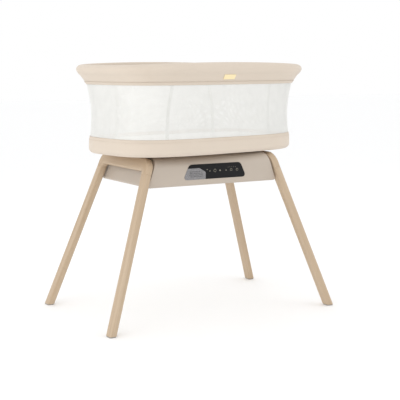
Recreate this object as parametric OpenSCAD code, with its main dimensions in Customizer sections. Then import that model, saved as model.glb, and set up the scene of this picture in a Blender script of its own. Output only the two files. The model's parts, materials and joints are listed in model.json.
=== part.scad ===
// Swaying bassinet: an oval mesh-sided basket on a motor housing, carried by
// two leaning wooden frames. The basket turns about a vertical spindle.
// The origin is on the floor under the spindle. +X runs along the stand's
// length, -Y is the side with the control panel, +Z is up. Millimetres.

/* [Wooden stand] */
// Half the distance between the feet along the length
foot_x = 472; // [430:1:560]
// Half the distance between the feet across the depth
foot_y = 282; // [255:1:340]
// Inward lean of each wooden frame, in degrees
lean = 19.4; // [17:0.1:21]
// Outward splay of each leg within its frame, in degrees
splay = 9.5; // [7:0.1:12]
// Width of the wood within the frame
leg_w = 38; // [32:1:46]
// Thickness of the wood across the frame
leg_t = 27; // [24:1:33]
// Rounding of the long edges of a leg
leg_round = 8; // [3:0.5:10]
// Height of the cross bar's face
bar_h = 49; // [44:1:60]
// Radius of the frame's outer shoulder
shoulder_r = 48; // [35:1:55]
// Radius of the corner under the cross bar
inner_r = 12; // [6:1:18]
// Drop from the cross bar's underside to the leg joint
joint_drop = 15; // [13:1:30]
// Diameter of the dowel in a leg joint
dowel_d = 12; // [8:1:16]
// Length of that dowel
dowel_l = 60; // [40:1:70]
// Thickness of the felt pad under a foot
pad_h = 4; // [3:0.5:6]

/* [Motor housing] */
// Height of the housing's underside above the floor
case_z = 496.4; // [440:0.1:520]
// Height of the housing
case_h = 109.6; // [105:0.1:130]
// Depth of the housing from front to back
case_depth = 386; // [360:1:440]
// Gap between the housing's ends and the wooden frames
case_gap = 5.4; // [4:0.1:9]
// Radius of the housing's long shoulders, front and rear
case_shoulder = 42; // [30:1:46]
// Rounding of the housing's lower edges
case_edge = 8; // [5:1:10]
// Wall of the housing
wall = 3; // [2.4:0.1:4]
// Depth of the recess that the turntable sits in
recess_h = 6; // [4:0.5:8]

/* [Control panel] */
// Width of the panel where it is widest, near its lower edge
panel_w = 262; // [220:1:300]
// Width of the straight part of the panel's upper edge
panel_top_w = 196; // [160:1:216]
// Height of the panel
panel_h = 56; // [44:1:62]
// Thickness of the panel's lens
lens_t = 2.2; // [1.8:0.1:3]
// Width of the speaker's share of the panel
grille_w = 90; // [76:1:104]

/* [Drive] */
// Angle of the basket at rest, from straight, in degrees
sway_rest = 8.6; // [0:0.1:9]
// Diameter of the turntable
table_d = 300; // [240:1:310]
// Thickness of the turntable's plate
table_t = 10; // [8:0.5:12]
// Diameter of the spindle
spindle_d = 20; // [16:1:26]
// Distance from the spindle to the motor
motor_x = 120; // [110:1:150]
// Pitch radius of the pulley on the spindle
big_pulley_r = 60; // [50:1:70]
// Pitch radius of the motor's pulley
small_pulley_r = 12; // [10:1:14]
// Width of the belt
belt_h = 10; // [8:1:12]
// Thickness of the belt
belt_t = 1.6; // [1.2:0.1:2]

/* [Basket] */
// Half length of the basket where the mesh meets the lower band
basket_a = 400; // [380:1:450]
// Half width of the basket at the same place
basket_b = 229; // [215:1:260]
// Shift of the basket along its length from the spindle
basket_shift = 18; // [0:1:25]
// Height of the lower fabric band
band_h = 61.6; // [54:0.1:80]
// Height of the mesh wall
mesh_h = 194; // [160:1:230]
// Height of the rim's fabric cover
rim_h = 69; // [60:1:95]
// Flare of the rim beyond the mesh, each side
rim_flare = 35; // [24:1:38]
// Rise of the rim towards the middle of each long side
rim_crown = 11.5; // [0:0.5:12]
// Radius of the tube inside the rim
rim_tube_r = 8; // [6:0.5:9]
// Radius of the tube around the base
base_tube_r = 7; // [5:0.5:7.5]
// Thickness of the base board
board_t = 8; // [6:0.5:12]
// Thickness of the mattress
mattress_h = 40; // [30:1:50]

/* [Clearances] */
// Running gap around a shaft
run_gap = 0.03; // [0.02:0.01:0.08]
// Gap between parts that move past each other
move_gap = 0.3; // [0.3:0.05:1]
// Gap around a part that is dropped into a pocket
fit_gap = 0.3; // [0.1:0.05:0.6]

/* [Hidden] */
$fn = 64;

// Colours, close to the finished materials
ash_wood = [0.80, 0.71, 0.60];
case_grey = [0.76, 0.71, 0.66];
dark_plastic = [0.16, 0.16, 0.17];
speaker_grey = [0.55, 0.54, 0.55];
steel = [0.70, 0.70, 0.72];
bronze = [0.72, 0.55, 0.33];
board_green = [0.12, 0.35, 0.22];
beige_cloth = [0.87, 0.82, 0.75];
mesh_white = [0.92, 0.92, 0.89];
gold = [0.95, 0.85, 0.62];

// ---- wooden frames: a frame is drawn flat, u across and v up, then leaned ----
frame_rise = (case_z + case_h - 4) / cos(lean);    // top of the cross bar, up the frame
bar_v = frame_rise - bar_h;                        // underside of the cross bar
joint_v = bar_v - joint_drop;                      // leg joint, at the leg's inner edge
bolt_v = bar_v + bar_h / 2;                        // frame bolts
bolt_u = 70;
seam_mid_v = joint_v + leg_w / 2 * sin(splay);
leg_l = seam_mid_v / cos(splay);                   // along the leg, floor to joint
function axis_u(v) = foot_y - v * tan(splay);
function inner_u(v) = axis_u(v) - leg_w / 2 / cos(splay);
function outer_u(v) = axis_u(v) + leg_w / 2 / cos(splay);
function arc(c, r, a0, a1, steps) =
    [for (i = [0 : steps]) let(a = a0 + (a1 - a0) * i / steps) c + r * [cos(a), sin(a)]];
function mirrored(points) = [for (i = [len(points) - 1 : -1 : 0]) [-points[i][0], points[i][1]]];

// ---- housing: its ends lean with the frames ----
case_top = case_z + case_h;
function frame_face_x(z) = foot_x - z * tan(lean) - leg_t / 2 / cos(lean);
function case_end_x(z) = frame_face_x(z) - case_gap / cos(lean);
case_foot = case_end_x(case_z + case_edge) - case_edge / cos(lean);   // end of the flat underside
base_b = case_depth / 2 - case_edge - 1;           // half depth of the opening underneath
recess_z = case_top - recess_h;
case_l = case_end_x(case_z);
front_y = -case_depth / 2;
table_seat_r = table_d / 2 + 8;
post_xy = [[case_l - 62, case_depth / 2 - 42], [0, case_depth / 2 - 22]];
chassis_post_xy = [case_l - 88, 80];
post_r = 7;
screw_r = 2;
inlet_x = 150;
inlet_z = case_z + 30;
inlet_r = 6;
inlet_pin_r = 2.75;

// ---- control panel and electronics ----
panel_z = case_z + 22.2;
panel_low_r = 10;
panel_high_r = 20;
panel_shift = 4;                                   // the panel sits a little off centre
pocket_t = 1.4;
grille_edge = -panel_w / 2 + grille_w;
grille_pitch = 6;
board_mid = [-130, 0];
board_size = [110, 80];
board_screw_r = 1.2;
pcb_t = 1.6;

// ---- drive levels, from the chassis up and down ----
chassis_z = case_z + 48.6;                         // underside of the chassis plate
plate_t = 4;
chassis_top = chassis_z + plate_t;
chassis_b = 95;                                    // half width of the chassis
flange_w = -leg_t / 2 - 26;                        // outer face of the chassis's end flange
bolt_r = 4;
spacer_r = 10;
pulley_z = case_z + 18;                            // belt's lower edge
pulley_flange = 2;
table_z = recess_z + 3;                            // underside of the turntable
table_top = table_z + table_t;
spindle_r = spindle_d / 2;
spindle_low = case_z + 9;
bush_r = spindle_r + 6;
block_h = 30;
hub_r = spindle_r + 12;
hub_h = table_z - chassis_top - block_h - 2;       // stops short of the bearing block
glide_r = 12;
glide_xy = (table_d / 2 - 2 * glide_r - 1) * [0.6, 0.8];   // under the turntable's edge
motor_body_r = 26;
motor_cap_h = 16;
motor_shaft_r = 4;
motor_screw_ring = motor_body_r - 6;
block_screw_ring = bush_r + 20;
screw_ring = table_d / 2 - 30;                     // turntable screws

// ---- basket levels ----
band_low = table_top - 2;                          // fabric turned under the board
board_z = table_top + 0.05;                        // the board, a hair above the turntable
mesh_low = band_low + band_h;
mesh_top = mesh_low + mesh_h;
rim_top = mesh_top + rim_h;
bulge = 4;                                         // lower band's swell
waist = 8.3;                                       // mesh wall's pinch
cloth_t = 3;
mesh_t = 1.5;
mesh_flare = 2;                                    // the mesh's spread at its top
skirt_z = rim_h - 39;                              // height up the skirt where it steepens
skirt_off = rim_flare - 13;                        // and its offset there
skirt_slope = (skirt_off - mesh_flare) / skirt_z;
label_lean = atan(skirt_slope / (1 + rim_crown / rim_h));   // the crown steepens it at mid length
hem_h = 10;
label_x = 21;
label_up = 0.9 * skirt_z;
label_size = [54, 20];
base_tube_off = -bulge - base_tube_r - 2;
base_tube_z = board_z + board_t + base_tube_r;
rim_tube_off = rim_flare - rim_tube_r - 4;
rim_tube_z = rim_top - rim_tube_r - 8;
mattress_off = base_tube_off - base_tube_r - 1;
oval_low = 3.4;                                    // squareness of the oval, low and high
oval_high = 3.9;
stations = 72;

// Point of the basket's oval at an offset from the mesh foot
function oval_n(z) =
    oval_low + (oval_high - oval_low) * min(1, max(0, (z - mesh_low) / mesh_h));
function oval(off, n, t) =
    let(k = pow(pow(abs(cos(t)), n) + pow(abs(sin(t)), n), -1 / n))
    [(basket_a + off) * k * cos(t), (basket_b + off) * k * sin(t)];
// Rise of the rim at a station, strongest at the top and at mid length
function crown(z, x) =
    rim_crown * max(0, (z - mesh_top) / rim_h) * (1 - pow(x / (basket_a + rim_flare), 2));
function ring_point(p, t) =
    let(q = oval(p[0], oval_n(p[1]), t)) [q[0], q[1], p[1] + crown(p[1], q[0])];

// ---- shapes used by several parts ----
module rounded_rect(w, h, r) {
    square([w - 2 * r, h], center = true);
    square([w, h - 2 * r], center = true);
    for (x = [-1, 1], y = [-1, 1])
        translate([x * (w / 2 - r), y * (h / 2 - r)]) circle(r = r);
}

// A ring around the basket from a closed section of [offset, height] points
module oval_ring(section) {
    k = len(section);
    points = [for (i = [0 : stations - 1]) for (p = section) ring_point(p, 360 * i / stations)];
    faces = [for (i = [0 : stations - 1]) for (j = [0 : k - 1])
        let(i2 = (i + 1) % stations, j2 = (j + 1) % k)
        [i * k + j, i2 * k + j, i2 * k + j2, i * k + j2]];
    polyhedron(points = points, faces = faces, convexity = 6);
}

// A round tube around the basket
module oval_tube(off, z, r) {
    oval_ring([for (a = [0 : 45 : 315]) [off + r * cos(a), z - r * sin(a)]]);
}

module oval_plate(off, z, h) {
    translate([0, 0, z])
        linear_extrude(height = h)
            polygon([for (i = [0 : stations - 1]) oval(off, oval_low, 360 * i / stations)]);
}

// Stands a flat frame drawing up on one side, 1 for right and -1 for left
module on_frame(side) {
    mirror([side < 0 ? 1 : 0, 0, 0])
        translate([foot_x, 0, 0])
            rotate([0, -lean, 0])
                rotate([90, 0, 90])
                    children();
}

// Runs along a leg from the floor; its own Z is the leg's length
module along_leg() {
    translate([foot_y, 0, 0])
        rotate([0, 0, splay])
            rotate([-90, 0, 0])
                children();
}

module both_ways() {
    children();
    mirror([1, 0, 0]) children();
}

module in_basket() {
    rotate([0, 0, sway_rest])
        translate([basket_shift, 0, 0])
            children();
}

// ---- wooden stand ----
// Half of the top piece's outline, from the leg joint up to the middle
function half_top() =
    let(foot_in = [inner_u(joint_v), joint_v],
        shoulder_v = frame_rise - shoulder_r,
        fillet_v = bar_v - inner_r)
    concat(
        arc([inner_u(fillet_v) - inner_r / cos(splay), fillet_v], inner_r, 90, splay, 8),
        [foot_in, foot_in + leg_w * [cos(splay), sin(splay)]],
        arc([outer_u(shoulder_v) - shoulder_r / cos(splay), shoulder_v], shoulder_r, splay, 90, 16));

module frame_top(side) {
    color(ash_wood)
        on_frame(side)
            difference() {
                translate([0, 0, -leg_t / 2])
                    linear_extrude(height = leg_t)
                        polygon(concat(half_top(), mirrored(half_top())));
                both_ways()
                    along_leg()
                        translate([0, 0, leg_l - 1])
                            cylinder(d = dowel_d, h = dowel_l / 2 + 2);
                for (u = [-bolt_u, bolt_u])
                    translate([u, bolt_v, -leg_t / 2 - 1])
                        cylinder(r = bolt_r + 2, h = 21);
            }
}

module left_frame_top() { frame_top(-1); }
module right_frame_top() { frame_top(1); }

// One leg, cut level just above its felt pad
module leg(side, way) {
    color(ash_wood)
        intersection() {
            on_frame(side)
                mirror([way > 0 ? 0 : 1, 0, 0])
                    difference() {
                        along_leg()
                            translate([0, 0, -30])
                                linear_extrude(height = leg_l + 30)
                                    rounded_rect(leg_w, leg_t, leg_round);
                        along_leg()
                            translate([0, 0, leg_l - dowel_l / 2 - 1])
                                cylinder(d = dowel_d, h = dowel_l / 2 + 2);
                    }
            translate([-1000, -1000, pad_h]) cube([2000, 2000, 1000]);
        }
}

module front_left_leg() { leg(-1, -1); }
module rear_left_leg() { leg(-1, 1); }
module front_right_leg() { leg(1, -1); }
module rear_right_leg() { leg(1, 1); }

module leg_dowels() {
    color("tan")
        for (side = [-1, 1])
            on_frame(side)
                both_ways()
                    along_leg()
                        translate([0, 0, leg_l - dowel_l / 2 + 0.5])
                            cylinder(d = dowel_d - 0.1, h = dowel_l - 1);
}

module foot_pads() {
    color("silver")
        intersection() {
            for (side = [-1, 1])
                on_frame(side)
                    both_ways()
                        along_leg()
                            translate([0, 0, -30])
                                linear_extrude(height = 60)
                                    rounded_rect(leg_w - 3, leg_t - 3, leg_round - 1.5);
            translate([-1000, -1000, 0]) cube([2000, 2000, pad_h]);
        }
}

// ---- fastenings between the frames and the chassis ----
module at_frame_bolts() {
    for (side = [-1, 1])
        on_frame(side)
            for (u = [-bolt_u, bolt_u])
                translate([u, bolt_v, 0])
                    children();
}

module frame_inserts() {
    color("goldenrod")
        at_frame_bolts()
            translate([0, 0, -leg_t / 2])
                difference() {
                    cylinder(r = bolt_r + 1.95, h = 19);
                    translate([0, 0, -1]) cylinder(r = bolt_r, h = 21);
                }
}

module frame_bolts() {
    head_w = flange_w - plate_t;
    color(steel)
        at_frame_bolts() {
            translate([0, 0, head_w]) cylinder(r = bolt_r - 0.05, h = -leg_t / 2 + 17 - head_w);
            translate([0, 0, head_w - 5]) cylinder(r = 7.5, h = 5, $fn = 6);
        }
}

module frame_spacers() {
    color(steel)
        at_frame_bolts()
            translate([0, 0, flange_w])
                difference() {
                    cylinder(r = spacer_r, h = -leg_t / 2 - flange_w);
                    translate([0, 0, -1]) cylinder(r = bolt_r + 0.3, h = 40);
                }
}

// ---- chassis: a steel plate with side lips and leaning end flanges ----
module chassis() {
    plate_v = (chassis_z + (-flange_w + plate_t) * sin(lean)) / cos(lean);
    plate_l = foot_x + (flange_w - plate_t / 2) * cos(lean) - plate_v * sin(lean) - 1;
    flange_foot = plate_v - 5;
    lip_h = 15;
    lip_l = plate_l - 30;
    color(steel)
        difference() {
            union() {
                translate([-plate_l, -chassis_b, chassis_z])
                    cube([2 * plate_l, 2 * chassis_b, plate_t]);
                for (y = [-chassis_b, chassis_b - 3])
                    translate([-lip_l, y, chassis_z - lip_h])
                        cube([2 * lip_l, 3, lip_h + 1]);
                for (side = [-1, 1])
                    on_frame(side)
                        translate([-chassis_b, flange_foot, flange_w - plate_t])
                            cube([2 * chassis_b, bolt_v + 14 - flange_foot, plate_t]);
            }
            translate([0, 0, chassis_z - 1]) cylinder(r = bush_r + 2, h = plate_t + 2);
            translate([motor_x, 0, chassis_z - 1]) cylinder(r = 9, h = plate_t + 2);
            at_frame_bolts()
                translate([0, 0, flange_w - plate_t - 1])
                    cylinder(r = bolt_r + 0.3, h = plate_t + 2);
            at_chassis_posts(chassis_z - 1) cylinder(r = screw_r + 0.3, h = plate_t + 2);
            for (a = [45 : 90 : 315])
                rotate([0, 0, a])
                    translate([block_screw_ring, 0, chassis_z - 1])
                        cylinder(r = screw_r + 0.3, h = plate_t + 2);
            for (a = [60 : 120 : 300])
                translate([motor_x, 0, chassis_z - 1])
                    rotate([0, 0, a])
                        translate([motor_screw_ring, 0, 0])
                            cylinder(r = screw_r + 0.3, h = plate_t + 2);
        }
}

// ---- housing ----
// Front view of the housing, taken in by a margin: its ends lean with the frames
module case_front(margin) {
    r = case_edge - margin;
    side = concat(arc([case_foot, case_z + case_edge], r, -90, lean, 8),
                  [[case_end_x(case_top) - margin / cos(lean) + margin * tan(lean), case_top - margin]]);
    polygon(concat(side, mirrored(side)));
}

// End view of the housing: rounded shoulders above, small edges below
module case_section(margin) {
    half = case_depth / 2;
    side = concat(arc([half - case_edge, case_z + case_edge], case_edge - margin, -90, 0, 8),
                  arc([half - case_shoulder, case_top - case_shoulder], case_shoulder - margin,
                      0, 90, 24));
    polygon(concat(side, mirrored(side)));
}

module case_solid(margin) {
    intersection() {
        rotate([90, 0, 0])
            linear_extrude(height = case_depth, center = true)
                case_front(margin);
        rotate([90, 0, 90])
            linear_extrude(height = 2 * case_l, center = true)
                case_section(margin);
    }
}

// Outline of the control panel in the front view, grown by a margin: two lower and
// two upper corner arcs, joined by the flanks that touch both
module panel_outline(grow) {
    low = [panel_w / 2 - panel_low_r, panel_z + panel_low_r];
    high = [panel_top_w / 2, panel_z + panel_h - panel_high_r];
    step = high - low;
    flank = atan2(step[1], step[0]) - acos((panel_low_r - panel_high_r) / norm(step));
    side = concat(arc(low, panel_low_r + grow, -90, flank, 6),
                  arc(high, panel_high_r + grow, flank, 90, 6));
    polygon(concat(side, mirrored(side)));
}

// Brings a front-view drawing to the housing's face, running into the wall
module on_front(depth) {
    translate([panel_shift, front_y + depth, 0])
        rotate([90, 0, 0])
            children();
}

// The speaker's share of the panel, left of a slanting line
module grille_side(grow) {
    polygon([[-200, panel_z - 10], [grille_edge + grow, panel_z - 10],
             [grille_edge + grow, panel_z + 26], [grille_edge - 26 + grow, panel_z + 42 + grow],
             [-200, panel_z + 42 + grow]]);
}

module housing_shell() {
    color(case_grey)
        difference() {
            union() {
                difference() {
                    case_solid(0);
                    difference() {
                        case_solid(wall);
                        translate([0, 0, recess_z - wall])
                            cylinder(r = table_seat_r + wall, h = 20, $fn = 128);
                    }
                    translate([-case_foot + 1, -base_b, case_z - 1])
                        cube([2 * case_foot - 2, 2 * base_b, wall + 2]);
                    translate([0, 0, recess_z]) cylinder(r = table_seat_r, h = 20, $fn = 128);
                    translate([0, 0, recess_z - 20]) cylinder(r = hub_r + 5, h = 30);
                }
                intersection() {
                    case_solid(1);
                    union() {
                        at_case_posts(case_z + wall) cylinder(r = post_r, h = case_h);
                        at_chassis_posts(chassis_top) cylinder(r = post_r, h = case_h);
                    }
                }
            }
            at_case_posts(case_z) cylinder(r = screw_r, h = 24);
            at_chassis_posts(chassis_top - 1) cylinder(r = screw_r, h = 16);
            at_frame_bolts()
                translate([0, 0, flange_w - 2])
                    cylinder(r = spacer_r + 1, h = 40);
            on_front(pocket_t)
                linear_extrude(height = pocket_t + 1) panel_outline(fit_gap);
            on_front(wall + 1)
                linear_extrude(height = wall + 2) panel_outline(-6);
            translate([-inlet_x, case_depth / 2 - wall - 1, inlet_z])
                rotate([-90, 0, 0])
                    cylinder(r = inlet_r + fit_gap, h = wall + 2);
        }
}

// The six posts that take the base's screws, and the four that stand on the chassis
module at_case_posts(z) {
    for (p = [post_xy[0], post_xy[1], [-post_xy[0][0], post_xy[0][1]]], y = [-1, 1])
        translate([p[0], y * p[1], z]) children();
}

module at_chassis_posts(z) {
    for (x = [-1, 1], y = [-1, 1])
        translate([x * chassis_post_xy[0], y * chassis_post_xy[1], z]) children();
}

module housing_base() {
    base_l = case_foot - 1 - fit_gap;
    color(case_grey)
        difference() {
            union() {
                translate([-base_l, -base_b + fit_gap, case_z])
                    cube([2 * base_l, 2 * (base_b - fit_gap), wall]);
                at_board_corners()
                    translate([0, 0, case_z]) cylinder(r = 4, h = 11);
            }
            at_case_posts(case_z - 1) screw_hole();
            at_board_corners()
                translate([0, 0, case_z + wall]) cylinder(r = board_screw_r, h = 20);
        }
}

module screw_hole() {
    cylinder(r = screw_r + 0.3, h = wall + 2);
    cylinder(r = 4.2, h = 2.5);
}

// A pan-head screw with its head's underside at z = 0
module screw(r, l) {
    translate([0, 0, -1.5]) cylinder(r = 2 * r - 0.1, h = 1.5);
    translate([0, 0, -0.5]) cylinder(r = r - 0.05, h = l + 0.5);
}

module housing_screws() {
    color(steel)
        at_case_posts(case_z + 1.5) screw(screw_r, 20);
}

module chassis_screws() {
    color(steel)
        at_chassis_posts(chassis_z) screw(screw_r, plate_t + 12);
}

// ---- control panel and electronics ----
module control_panel() {
    color(dark_plastic)
        on_front(pocket_t)
            linear_extrude(height = lens_t)
                difference() {
                    panel_outline(0);
                    grille_side(0);
                }
}

module speaker_grille() {
    color(speaker_grey)
        on_front(pocket_t)
            linear_extrude(height = lens_t)
                difference() {
                    intersection() {
                        panel_outline(0);
                        grille_side(-fit_gap);
                    }
                    for (i = [0 : 9], j = [0 : 3])
                        translate([grille_edge - 12 - grille_pitch * (i + (j % 2) / 2),
                                   panel_z + 11 + grille_pitch * j])
                            circle(r = 1.5, $fn = 16);
                }
}

module speaker_driver() {
    back = front_y + wall + 1;
    color(dark_plastic)
        translate([panel_shift + grille_edge - 42, back, panel_z + 22])
            rotate([-90, 0, 0]) {
                cylinder(r = 20, h = 4);
                translate([0, 0, 4]) cylinder(r1 = 18, r2 = 11, h = 8, $fn = 48);
                translate([0, 0, 12]) cylinder(r = 12, h = 8);
            }
}

module touch_board() {
    color(board_green)
        translate([panel_shift + grille_edge + 20, front_y + pocket_t, panel_z + 12])
            cube([panel_w / 2 - grille_edge - 62, pcb_t, panel_h - 26]);
}

module at_board_corners() {
    for (x = [-1, 1], y = [-1, 1])
        translate([board_mid[0] + x * (board_size[0] / 2 - 5),
                   board_mid[1] + y * (board_size[1] / 2 - 5), 0])
            children();
}

module control_board() {
    z = case_z + 11;
    color(board_green) {
        difference() {
            translate([board_mid[0] - board_size[0] / 2, board_mid[1] - board_size[1] / 2, z])
                cube([board_size[0], board_size[1], pcb_t]);
            at_board_corners()
                translate([0, 0, z - 1]) cylinder(r = 1.5, h = 4);
        }
        translate([board_mid[0] - 30, -20, z + 1.5]) cube([24, 24, 3]);
        translate([board_mid[0] + 8, -26, z + 1.5]) cube([18, 12, 9]);
        for (y = [0, 16])
            translate([board_mid[0] + 20, y, z + 1.5]) cylinder(r = 5, h = 12);
        translate([board_mid[0] - 40, 18, z + 1.5]) cube([26, 10, 8]);
    }
}

module board_screws() {
    color(steel)
        at_board_corners()
            translate([0, 0, case_z + 11 + pcb_t]) mirror([0, 0, 1]) screw(board_screw_r, 8);
}

module power_inlet() {
    color(dark_plastic)
        translate([-inlet_x, case_depth / 2 + 0.6, inlet_z])
            rotate([90, 0, 0])
                difference() {
                    union() {
                        cylinder(r = inlet_r, h = 14);
                        translate([-7, -6, wall + 0.6]) cube([14, 12, 11]);
                        cylinder(r = inlet_r + 2, h = 0.6);
                    }
                    translate([0, 0, -1]) cylinder(r = inlet_pin_r, h = 11);
                }
}

// ---- drive ----
module gear_motor() {
    shaft_in = 12;
    color(steel)
        difference() {
            translate([motor_x, 0, chassis_top]) {
                cylinder(r = motor_body_r, h = motor_cap_h);
                cylinder(r = motor_body_r - 7, h = recess_z - wall - 2 - chassis_top);
            }
            translate([motor_x, 0, chassis_top - 1])
                cylinder(r = motor_shaft_r + run_gap, h = shaft_in + 1.5);
            for (a = [60 : 120 : 300])
                translate([motor_x, 0, chassis_top - 1])
                    rotate([0, 0, a])
                        translate([motor_screw_ring, 0, 0])
                            cylinder(r = screw_r, h = 9);
        }
}

module motor_screws() {
    color(steel)
        for (a = [60 : 120 : 300])
            translate([motor_x, 0, chassis_z])
                rotate([0, 0, a])
                    translate([motor_screw_ring, 0, 0])
                        screw(screw_r, plate_t + 7);
}

module bearing_block() {
    color("darkgray")
        translate([0, 0, chassis_top])
            difference() {
                union() {
                    cylinder(r = bush_r + 26, h = 6);
                    cylinder(r = bush_r + 10, h = block_h);
                }
                translate([0, 0, -1]) cylinder(r = bush_r, h = block_h + 2);
                for (a = [45 : 90 : 315])
                    rotate([0, 0, a])
                        translate([block_screw_ring, 0, -1])
                            cylinder(r = screw_r, h = 8);
            }
}

module bearing_screws() {
    color(steel)
        for (a = [45 : 90 : 315])
            rotate([0, 0, a])
                translate([block_screw_ring, 0, chassis_z])
                    screw(screw_r, plate_t + 5);
}

module spindle_bushes() {
    bush_l = 12;
    color(bronze)
        for (z = [chassis_top, chassis_top + block_h - bush_l])
            translate([0, 0, z])
                difference() {
                    cylinder(r = bush_r, h = bush_l);
                    translate([0, 0, -1]) cylinder(r = spindle_r + run_gap, h = bush_l + 2);
                }
}

module glide_pads() {
    color("ivory")
        for (x = [-1, 1], y = [-1, 1])
            translate([x * glide_xy[0], y * glide_xy[1], recess_z])
                cylinder(r = glide_r, h = table_z - recess_z - move_gap);
}

// The belt's path: two round ends, joined by the straight runs that touch both
module belt_path(grow) {
    big = big_pulley_r + grow;
    small = small_pulley_r + grow;
    a = acos((big - small) / motor_x);
    polygon(concat(arc([0, 0], big, a, 360 - a, 60), arc([motor_x, 0], small, -a, a, 24)));
}

module drive_belt() {
    color("dimgray")
        translate([0, 0, pulley_z])
            linear_extrude(height = belt_h)
                difference() {
                    belt_path(move_gap + belt_t);
                    belt_path(move_gap);
                }
}

module pulley(r, bore) {
    difference() {
        union() {
            translate([0, 0, -move_gap]) cylinder(r = r, h = belt_h + 2 * move_gap, $fn = 128);
            for (z = [-move_gap - pulley_flange, belt_h + move_gap])
                translate([0, 0, z]) cylinder(r = r + belt_t + 2, h = pulley_flange, $fn = 128);
        }
        translate([0, 0, -10]) cylinder(r = bore, h = 40);
    }
}

module motor_shaft() {
    color(steel)
        translate([motor_x, 0, pulley_z - 4])
            cylinder(r = motor_shaft_r, h = chassis_top + 12 - pulley_z + 4);
}

module motor_pulley() {
    color("darkgray")
        translate([motor_x, 0, pulley_z])
            pulley(small_pulley_r, motor_shaft_r);
}

module spindle() {
    color(steel)
        difference() {
            translate([0, 0, spindle_low]) cylinder(r = spindle_r, h = table_top - 3 - spindle_low);
            translate([0, 0, spindle_low + 2])
                difference() {
                    cylinder(r = spindle_r + 1, h = 2);
                    cylinder(r = spindle_r - 2, h = 2);
                }
        }
}

module spindle_clip() {
    color(steel)
        translate([0, 0, spindle_low + 2])
            difference() {
                cylinder(r = spindle_r + 4, h = 1.8);
                translate([0, 0, -1]) cylinder(r = spindle_r - 2, h = 4);
                translate([0, -spindle_r + 3, -1]) cube([40, 2 * spindle_r - 6, 4]);
            }
}

module spindle_pulley() {
    color("darkgray")
        translate([0, 0, pulley_z])
            pulley(big_pulley_r, spindle_r);
}

module turntable() {
    color("gainsboro")
        difference() {
            union() {
                translate([0, 0, table_z]) cylinder(d = table_d, h = table_t, $fn = 128);
                translate([0, 0, table_z - hub_h]) cylinder(r = hub_r, h = hub_h + 1);
            }
            translate([0, 0, table_z - hub_h - 1])
                cylinder(r = spindle_r, h = hub_h + table_t - 2);
            rotate([0, 0, sway_rest])
                for (a = [0 : 90 : 270])
                    rotate([0, 0, a])
                        translate([screw_ring, 0, table_z - 1]) {
                            cylinder(r = 3.2, h = table_t + 2);
                            cylinder(r = 6.5, h = 5);
                        }
        }
}

module turntable_screws() {
    color(steel)
        rotate([0, 0, sway_rest])
            for (a = [0 : 90 : 270])
                rotate([0, 0, a])
                    translate([screw_ring, 0, table_z + 4]) {
                        translate([0, 0, -3]) cylinder(r = 6, h = 3);
                        translate([0, 0, -0.5]) cylinder(r = 2.95, h = table_t - 4 + board_t - 1);
                    }
}

// ---- basket ----
module base_board() {
    color("burlywood")
        difference() {
            in_basket() oval_plate(-bulge - 3, board_z, board_t);
            rotate([0, 0, sway_rest])
                for (a = [0 : 90 : 270])
                    rotate([0, 0, a])
                        translate([screw_ring, 0, board_z - 1])
                            cylinder(r = 3, h = board_t);
        }
}

module base_tube() {
    color(steel)
        in_basket() oval_tube(base_tube_off, base_tube_z, base_tube_r);
}

module mattress() {
    color("white")
        in_basket() oval_plate(mattress_off, board_z + board_t, mattress_h);
}

module lower_band() {
    color(beige_cloth)
        in_basket()
            oval_ring([[bulge - 0.5, mesh_low - 18], [bulge, band_low + 24],
                       [bulge - 0.5, band_low + 11], [-1, band_low + 3], [-7, band_low],
                       [-30, band_low], [-30, board_z - 0.1], [-2.6, board_z - 0.1],
                       [bulge - 0.5 - cloth_t, band_low + 11], [bulge - cloth_t, band_low + 24],
                       [bulge - 0.5 - cloth_t, mesh_low - 18], [-cloth_t, mesh_low], [0, mesh_low]]);
}

module mesh_wall() {
    color(mesh_white, 0.5)
        in_basket()
            oval_ring([[0, mesh_low], [-mesh_t, mesh_low],
                       for (i = [1 : 7]) [wall_off(i / 8) - mesh_t, mesh_low + mesh_h * i / 8],
                       [mesh_flare - mesh_t, mesh_top], [mesh_flare, mesh_top],
                       for (i = [7 : -1 : 1]) [wall_off(i / 8), mesh_low + mesh_h * i / 8]]);
}

// Offset of the mesh wall at a share of its height: a waist near the middle
function wall_off(s) = mesh_flare * s * s - waist * sin(180 * pow(s, 0.95));

// Bent rods inside the mesh, between the base tube and the rim tube
module stay(x_low, x_high, side) {
    r = 3;
    steps = 8;
    low = base_tube_z + base_tube_r;
    high = rim_tube_z - rim_tube_r - 1;
    path = [for (i = [0 : steps])
        let(z = i < steps ? low + (mesh_top - low) * i / (steps - 1) : high,
            s = min(1, max(0, (z - mesh_low) / mesh_h)),
            x = x_low + (x_high - x_low) * (z - low) / (high - low),
            inside = wall_off(s) - mesh_t - r - 2,
            up = max(0, (z - mesh_top) / (high - mesh_top)),
            off = i == 0 ? base_tube_off : inside + (rim_tube_off - inside) * up,
            n = oval_n(z))
        [x, side * (basket_b + off) * pow(1 - pow(abs(x) / (basket_a + off), n), 1 / n), z]];
    points = [for (p = path) for (a = [0 : 45 : 315]) p + r * [cos(a), sin(a), 0]];
    faces = concat([[for (j = [0 : 7]) j]],
                   [for (i = [0 : steps - 1]) for (j = [0 : 7])
                       [i * 8 + (j + 1) % 8, i * 8 + j, (i + 1) * 8 + j, (i + 1) * 8 + (j + 1) % 8]],
                   [[for (j = [7 : -1 : 0]) steps * 8 + j]]);
    polyhedron(points = points, faces = faces);
}

module wall_stays() {
    color("whitesmoke")
        in_basket() {
            stay(-276, -257, -1);
            stay(206, 202, -1);
            stay(276, 257, 1);
            stay(-206, -202, 1);
        }
}

module rim_tube() {
    color(steel)
        in_basket() oval_tube(rim_tube_off, rim_tube_z, rim_tube_r);
}

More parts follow.
